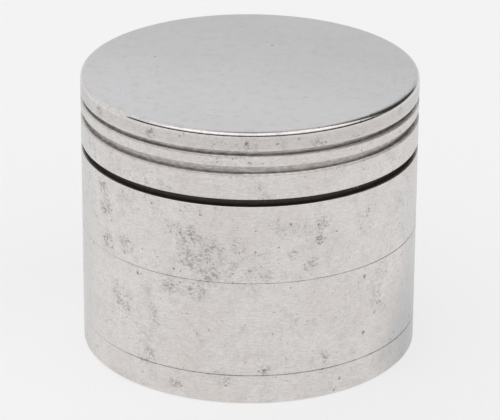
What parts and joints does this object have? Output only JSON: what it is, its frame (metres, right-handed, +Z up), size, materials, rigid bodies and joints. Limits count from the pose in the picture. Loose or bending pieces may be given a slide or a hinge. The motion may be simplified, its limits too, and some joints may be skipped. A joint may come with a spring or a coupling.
{
  "type": "pill crusher",
  "caption": "Round hand crusher for tablets: magnetic lid and chamber with interlocking pins, above a collection chamber with a sieve and a screw-on powder base.",
  "frame": {"origin": "centre of the underside of the base", "axes": "+Z up along the axis that every storey turns about, towards the lid; +X to the right and -Y towards the front"},
  "size_m": [0.063, 0.063, 0.0535],
  "materials": {
    "worn_aluminium": "satin, turned, with small dark pits and handling marks",
    "pin_steel": "ground",
    "cap_steel": "polished, lightly scratched",
    "magnet_nickel": "nickel plated",
    "sieve_wire": "woven stainless wire",
    "spring_steel": "drawn wire",
    "dark_polymer": "dull, slightly dusty",
    "seal_rubber": "smooth black",
    "gasket_rubber": "matte black"
  },
  "bodies": {
    "base": {"base_catcher": "worn_aluminium"},
    "base_seal": {"base_seal_ring": "seal_rubber"},
    "collector": {"collection_chamber": "worn_aluminium", "sieve_gasket": "gasket_rubber", "sieve_mesh": "sieve_wire", "sieve_clamp_ring": "worn_aluminium", "sieve_snap_ring": "spring_steel"},
    "collector_seal": {"chamber_seal_ring": "seal_rubber"},
    "crusher": {"grinding_chamber": "worn_aluminium", "chamber_magnet": "magnet_nickel", "chamber_magnet_cap": "cap_steel", "chamber_pin_inner_1": "pin_steel", "chamber_pin_inner_2": "pin_steel", "chamber_pin_inner_3": "pin_steel", "chamber_pin_inner_4": "pin_steel", "chamber_pin_inner_5": "pin_steel", "chamber_pin_inner_6": "pin_steel", "chamber_pin_inner_7": "pin_steel", "chamber_pin_inner_8": "pin_steel", "chamber_pin_outer_1": "pin_steel", "chamber_pin_outer_10": "pin_steel", "chamber_pin_outer_11": "pin_steel", "chamber_pin_outer_12": "pin_steel", "chamber_pin_outer_2": "pin_steel", "chamber_pin_outer_3": "pin_steel", "chamber_pin_outer_4": "pin_steel", "chamber_pin_outer_5": "pin_steel", "chamber_pin_outer_6": "pin_steel", "chamber_pin_outer_7": "pin_steel", "chamber_pin_outer_8": "pin_steel", "chamber_pin_outer_9": "pin_steel"},
    "glide_ring": {"glide_ring": "dark_polymer"},
    "lid": {"lid": "worn_aluminium", "lid_magnet": "magnet_nickel", "lid_magnet_cap": "cap_steel", "lid_pin_inner_1": "pin_steel", "lid_pin_inner_2": "pin_steel", "lid_pin_inner_3": "pin_steel", "lid_pin_inner_4": "pin_steel", "lid_pin_outer_1": "pin_steel", "lid_pin_outer_2": "pin_steel", "lid_pin_outer_3": "pin_steel", "lid_pin_outer_4": "pin_steel", "lid_pin_outer_5": "pin_steel", "lid_pin_outer_6": "pin_steel", "lid_pin_outer_7": "pin_steel", "lid_pin_outer_8": "pin_steel"}
  },
  "joints": [
    {"name": "collector_turn", "type": "hinge", "parent": "base", "child": "base_seal", "pos_m": [0, 0, 0.0068], "axis": [0, 0, 1], "range_deg": [0, 1440]},
    {"name": "collector_rise", "type": "slide", "parent": "base_seal", "child": "collector", "axis": [0, 0, 1], "range_m": [0, 0.0241]},
    {"name": "crusher_turn", "type": "hinge", "parent": "collector", "child": "collector_seal", "pos_m": [0, 0, 0.0252], "axis": [0, 0, 1], "range_deg": [0, 1440]},
    {"name": "crusher_rise", "type": "slide", "parent": "collector_seal", "child": "crusher", "axis": [0, 0, 1], "range_m": [0, 0.0241]},
    {"name": "lid_spin", "type": "hinge", "parent": "crusher", "child": "glide_ring", "pos_m": [0, 0, 0.0399], "axis": [0, 0, 1], "continuous": true},
    {"name": "lid_lift", "type": "slide", "parent": "glide_ring", "child": "lid", "axis": [0, 0, 1], "range_m": [0, 0.03]}
  ],
  "couplings": [
    {"joint": "collector_rise", "follows": "collector_turn", "m_per_rad": 0.00095493},
    {"joint": "crusher_rise", "follows": "crusher_turn", "m_per_rad": 0.00095493}
  ]
}
